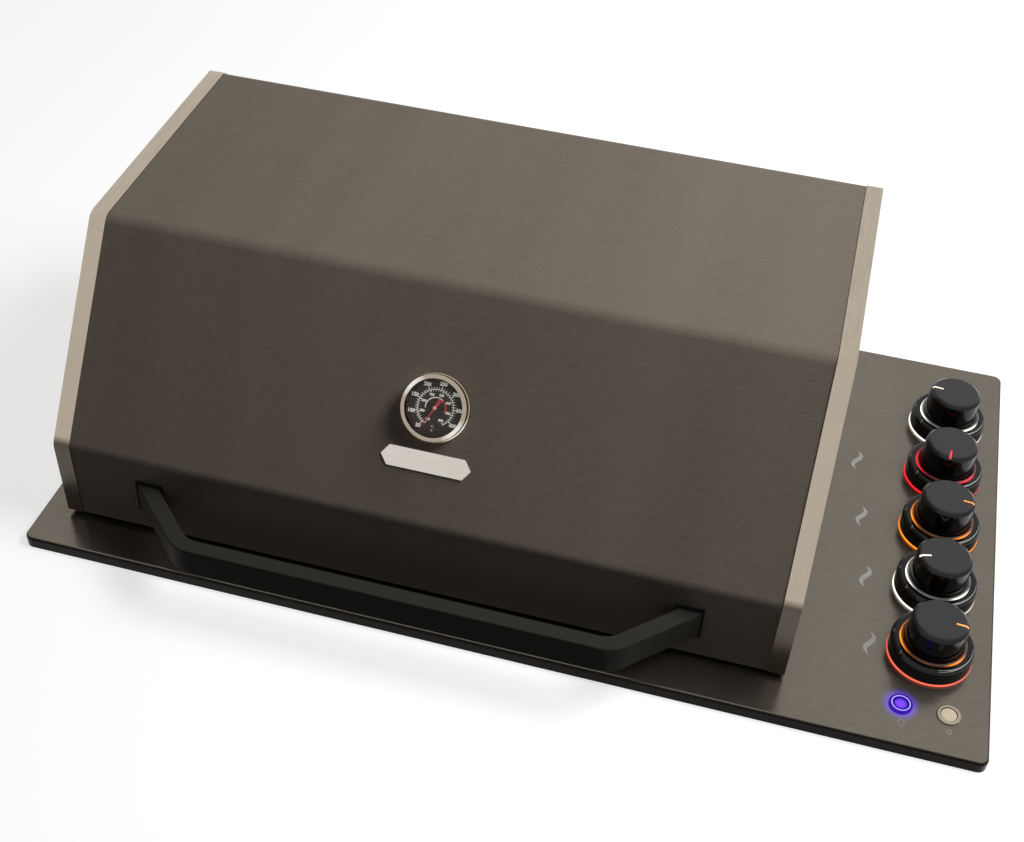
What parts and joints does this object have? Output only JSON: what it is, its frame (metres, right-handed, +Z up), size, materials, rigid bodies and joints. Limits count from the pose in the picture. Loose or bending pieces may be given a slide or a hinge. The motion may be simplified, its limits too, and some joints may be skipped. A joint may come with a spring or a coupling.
{
  "type": "built-in gas grill",
  "caption": "Drop-in gas grill: deck plate with a hinged roasting hood, lit control knobs in a row, push buttons, burners, grates and a pull-out drip tray below.",
  "frame": {"origin": "centre of the bench cut-out, in the plane of the benchtop that the deck's rim rests on", "axes": "+X to the right along the deck's long side, towards the knobs; +Y to the back, away from the cook; +Z up"},
  "size_m": [0.94, 0.5884, 0.5172],
  "materials": {
    "dark_coated_steel": "satin dark brown-grey coating on stainless sheet",
    "hood_edge_steel": "bright brushed stainless",
    "black_brushed_deck": "black coated brushed stainless, glossy",
    "liner_steel": "plain mill-finish stainless",
    "firebox_steel": "plain mill-finish stainless",
    "handle_black": "satin black powder coat",
    "spacer_rubber": "matt",
    "screw_steel": "plain",
    "gauge_chrome": "polished",
    "dial_black": "matt printed",
    "clear_glass": "polished",
    "needle_red": "satin",
    "badge_aluminium": "satin",
    "cast_grate": "matt enamel",
    "rack_chrome": "polished wire",
    "burner_steel": "plain",
    "tile_ceramic": "matt",
    "zinc_steel": "zinc plated",
    "valve_brass": "plain machined",
    "knob_black": "gloss sides, satin top",
    "bezel_black": "gloss",
    "ring_white": "clear light guide",
    "board_green": "solder mask",
    "button_steel": "turned stainless",
    "electrode_ceramic": "glazed",
    "module_black": "moulded"
  },
  "bodies": {
    "grill": {"deck_panel": "black_brushed_deck", "firebox": "firebox_steel", "back_panel": "firebox_steel", "rear_burner": "tile_ceramic", "rear_burner_pipe": "zinc_steel", "main_burners": "burner_steel", "flame_tamers": "firebox_steel", "cooking_grates": "cast_grate", "hotplate": "cast_grate", "warming_rack": "rack_chrome", "control_box": "zinc_steel", "gas_manifold": "zinc_steel", "gas_inlet": "valve_brass", "gas_valves": "valve_brass", "light_rings": "ring_white", "led_boards": "board_green", "button_housings": "button_steel", "deck_fasteners": "screw_steel", "igniter_module": "module_black", "electrodes": "electrode_ceramic", "led_driver": "module_black", "tray_runners": "zinc_steel", "hinge_brackets": "zinc_steel", "bezel_1": "bezel_black", "bezel_2": "bezel_black", "bezel_3": "bezel_black", "bezel_4": "bezel_black", "bezel_5": "bezel_black"},
    "hood": {"hood_skin": "dark_coated_steel", "hood_liner": "liner_steel", "hood_end_left": "hood_edge_steel", "hood_end_right": "hood_edge_steel", "hinge_pins": "zinc_steel", "hood_handle": "handle_black", "handle_spacers": "spacer_rubber", "hood_fasteners": "screw_steel", "gauge_case": "gauge_chrome", "gauge_dial": "dial_black", "gauge_lens": "clear_glass", "badge_plate": "badge_aluminium"},
    "needle": {"gauge_needle": "needle_red"},
    "light_cap": {"light_button_cap": "button_steel"},
    "ignition_cap": {"ignition_button_cap": "button_steel"},
    "tray": {"drip_tray": "firebox_steel"},
    "cup": {"grease_cup": "firebox_steel"},
    "plug_1": {"valve_plug_1": "valve_brass"},
    "knob_1_push": {"knob_1": "knob_black", "knob_stem_1": "zinc_steel"},
    "plug_2": {"valve_plug_2": "valve_brass"},
    "knob_2_push": {"knob_2": "knob_black", "knob_stem_2": "zinc_steel"},
    "plug_3": {"valve_plug_3": "valve_brass"},
    "knob_3_push": {"knob_3": "knob_black", "knob_stem_3": "zinc_steel"},
    "plug_4": {"valve_plug_4": "valve_brass"},
    "knob_4_push": {"knob_4": "knob_black", "knob_stem_4": "zinc_steel"},
    "plug_5": {"valve_plug_5": "valve_brass"},
    "knob_5_push": {"knob_5": "knob_black", "knob_stem_5": "zinc_steel"}
  },
  "joints": [
    {"name": "hood_hinge", "type": "hinge", "parent": "grill", "child": "hood", "pos_m": [-0.08015, 0.175, 0.0325], "axis": [-1, 0, 0], "range_deg": [0, 85]},
    {"name": "gauge_needle_turn", "type": "hinge", "parent": "hood", "child": "needle", "pos_m": [-0.0772, -0.16908, 0.19357], "axis": [0, 0.7914, -0.6113], "range_deg": [0, 285], "stiffness_Nm_per_rad": 0.01},
    {"name": "light_button_press", "type": "slide", "parent": "grill", "child": "light_cap", "axis": [0, 0, -1], "range_m": [0, 0.002], "stiffness_N_per_m": 600, "springref_m": -0.002},
    {"name": "ignition_button_press", "type": "slide", "parent": "grill", "child": "ignition_cap", "axis": [0, 0, -1], "range_m": [0, 0.002], "stiffness_N_per_m": 600, "springref_m": -0.002},
    {"name": "drip_tray_slide", "type": "slide", "parent": "grill", "child": "tray", "axis": [0, -1, 0], "range_m": [0, 0.35]},
    {"name": "grease_cup_slide", "type": "slide", "parent": "tray", "child": "cup", "axis": [0, -1, 0], "range_m": [0, 0.13]},
    {"name": "knob_1_turn", "type": "hinge", "parent": "grill", "child": "plug_1", "pos_m": [0.4105, 0.172, 0], "axis": [0, 0, 1], "range_deg": [0, 190]},
    {"name": "knob_1_press", "type": "slide", "parent": "plug_1", "child": "knob_1_push", "axis": [0, 0, -1], "range_m": [0, 0.003], "stiffness_N_per_m": 800, "springref_m": -0.003},
    {"name": "knob_2_turn", "type": "hinge", "parent": "grill", "child": "plug_2", "pos_m": [0.4105, 0.0875, 0], "axis": [0, 0, 1], "range_deg": [-91, 99]},
    {"name": "knob_2_press", "type": "slide", "parent": "plug_2", "child": "knob_2_push", "axis": [0, 0, -1], "range_m": [0, 0.003], "stiffness_N_per_m": 800, "springref_m": -0.003},
    {"name": "knob_3_turn", "type": "hinge", "parent": "grill", "child": "plug_3", "pos_m": [0.4105, 0.003, 0], "axis": [0, 0, 1], "range_deg": [-178, 12]},
    {"name": "knob_3_press", "type": "slide", "parent": "plug_3", "child": "knob_3_push", "axis": [0, 0, -1], "range_m": [0, 0.003], "stiffness_N_per_m": 800, "springref_m": -0.003},
    {"name": "knob_4_turn", "type": "hinge", "parent": "grill", "child": "plug_4", "pos_m": [0.4105, -0.0815, 0], "axis": [0, 0, 1], "range_deg": [-22, 168]},
    {"name": "knob_4_press", "type": "slide", "parent": "plug_4", "child": "knob_4_push", "axis": [0, 0, -1], "range_m": [0, 0.003], "stiffness_N_per_m": 800, "springref_m": -0.003},
    {"name": "knob_5_turn", "type": "hinge", "parent": "grill", "child": "plug_5", "pos_m": [0.4105, -0.166, 0], "axis": [0, 0, 1], "range_deg": [-180, 10]},
    {"name": "knob_5_press", "type": "slide", "parent": "plug_5", "child": "knob_5_push", "axis": [0, 0, -1], "range_m": [0, 0.003], "stiffness_N_per_m": 800, "springref_m": -0.003}
  ]
}
